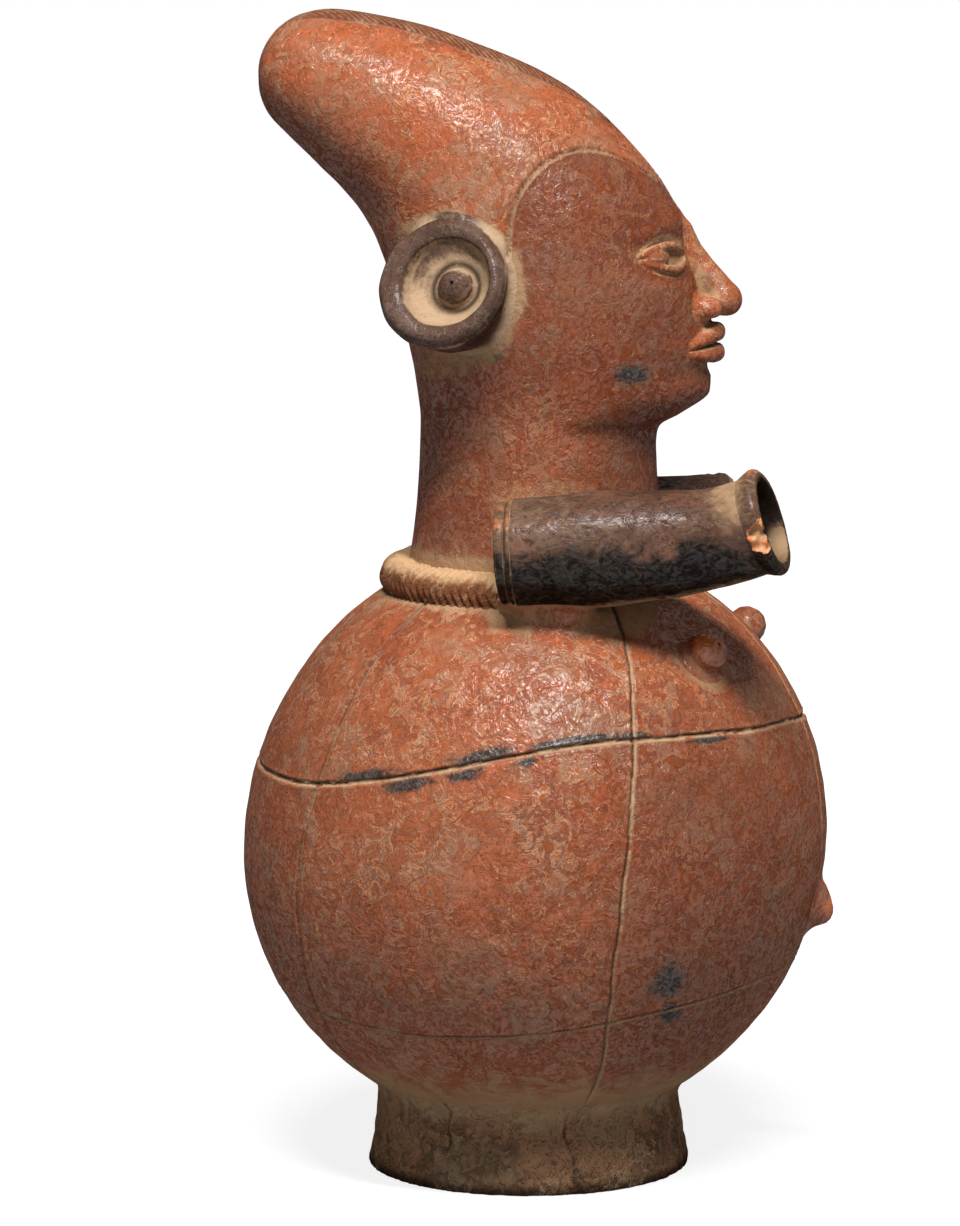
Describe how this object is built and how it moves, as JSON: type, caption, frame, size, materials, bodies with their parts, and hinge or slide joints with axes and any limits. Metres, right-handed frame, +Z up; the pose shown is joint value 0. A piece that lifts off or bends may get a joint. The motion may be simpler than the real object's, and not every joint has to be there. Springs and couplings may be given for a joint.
{
  "type": "spouted clay jar",
  "caption": "Round clay jar on a ring foot, its neck a calm head with a swept-back crown and dish ears, with two tube spouts lying on the shoulders.",
  "frame": {"origin": "on the ground under the middle of the belly, at the bottom centre of the jar", "axes": "+Z up through the jar's height; the figure faces -Y; its right-hand side is -X"},
  "size_m": [0.1582, 0.1613, 0.3143],
  "materials": {
    "red_slip": "burnished brick-red slip over fired clay, soft gloss",
    "head_slip": "burnished red-brown slip, finely crackled, soft gloss",
    "dark_slip": "dark purplish-brown burnished slip",
    "smoked_clay": "fire-clouded burnished clay, black below and red-brown above",
    "dusty_clay": "matt tan clay with pale dust in its recesses",
    "foot_clay": "matt grey-brown clay, dusty and worn",
    "worn_clay": "rubbed orange-brown clay with a dusty ring at its root"
  },
  "bodies": {
    "root": {"foot_ring": "foot_clay", "belly_bowl": "red_slip", "shoulder_dome": "red_slip", "neck_wall": "head_slip", "neck_collar_back": "dusty_clay", "neck_collar_front": "dusty_clay", "head_shell": "head_slip", "crown_shell": "head_slip", "crown_band": "head_slip", "nose": "head_slip", "upper_lip": "head_slip", "lower_lip": "head_slip", "right_ear_dish": "dark_slip", "right_ear_boss": "dusty_clay", "right_eye_mound": "head_slip", "right_upper_lid": "head_slip", "right_lower_lid": "head_slip", "left_ear_dish": "dark_slip", "left_ear_boss": "dusty_clay", "left_eye_mound": "head_slip", "left_upper_lid": "head_slip", "left_lower_lid": "head_slip", "right_breast_nub": "worn_clay", "left_breast_nub": "worn_clay", "navel_nub": "worn_clay", "right_spout_tube": "smoked_clay", "right_spout_lip": "dark_slip", "right_spout_back_ring": "dark_slip", "right_spout_back_disc": "dark_slip", "right_spout_saddle": "dusty_clay", "left_spout_tube": "smoked_clay", "left_spout_lip": "dark_slip", "left_spout_back_ring": "dark_slip", "left_spout_back_disc": "dark_slip", "left_spout_saddle": "dusty_clay"}
  },
  "joints": []
}
